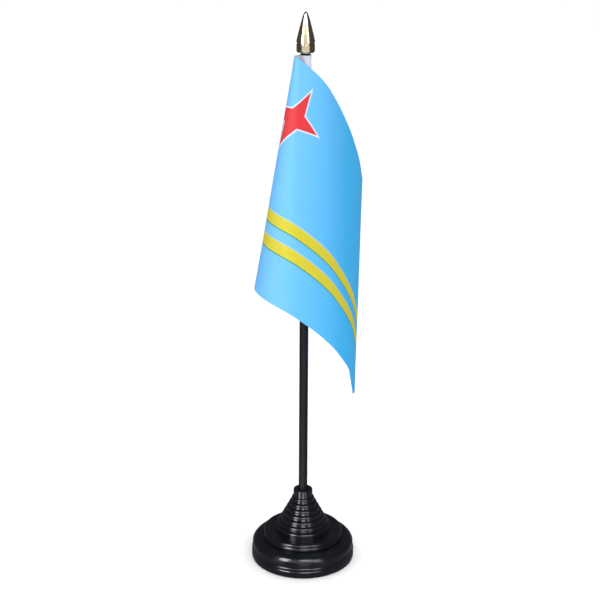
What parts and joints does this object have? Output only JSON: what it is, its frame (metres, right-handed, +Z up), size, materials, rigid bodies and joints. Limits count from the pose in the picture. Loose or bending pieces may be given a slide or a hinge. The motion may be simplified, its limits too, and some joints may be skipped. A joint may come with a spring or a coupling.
{
  "type": "desk flag stand",
  "caption": "Small table flag on a slim pole in a round weighted base with stepped rings; the flag slides and turns on the pole, and the pole and its tip pull out.",
  "frame": {"origin": "centre of the base's underside, on the pole axis", "axes": "+Z up the pole; the viewer's side is -Y and the flag's loose end is towards +X and +Y"},
  "size_m": [0.0539, 0.1235, 0.2686],
  "materials": {
    "base_plate": "gloss black moulding",
    "base_shell": "gloss black moulding",
    "ballast_ring": "plain steel washer",
    "pole": "satin black rod",
    "finial": "gold metallised plastic",
    "flag_sleeve": "white woven tape",
    "flag_cloth": "printed polyester, light blue",
    "flag_stitches": "white sewing thread"
  },
  "bodies": {
    "base": {"base_plate": "base_plate", "base_shell": "base_shell", "ballast_ring": "ballast_ring"},
    "rod": {"pole": "pole"},
    "tip": {"finial": "finial"},
    "sleeve": {"flag_sleeve": "flag_sleeve"},
    "flag": {"flag_cloth": "flag_cloth", "flag_stitches": "flag_stitches"}
  },
  "joints": [
    {"name": "pole_lift", "type": "slide", "parent": "base", "child": "rod", "axis": [0, 0, 1], "range_m": [0, 0.03]},
    {"name": "finial_pull", "type": "slide", "parent": "rod", "child": "tip", "axis": [0, 0, 1], "range_m": [0, 0.012]},
    {"name": "flag_slide", "type": "slide", "parent": "rod", "child": "sleeve", "axis": [0, 0, 1], "range_m": [-0.06, 0]},
    {"name": "flag_turn", "type": "hinge", "parent": "sleeve", "child": "flag", "pos_m": [0, 0, 0.1995], "axis": [0, 0, 1], "continuous": true}
  ]
}
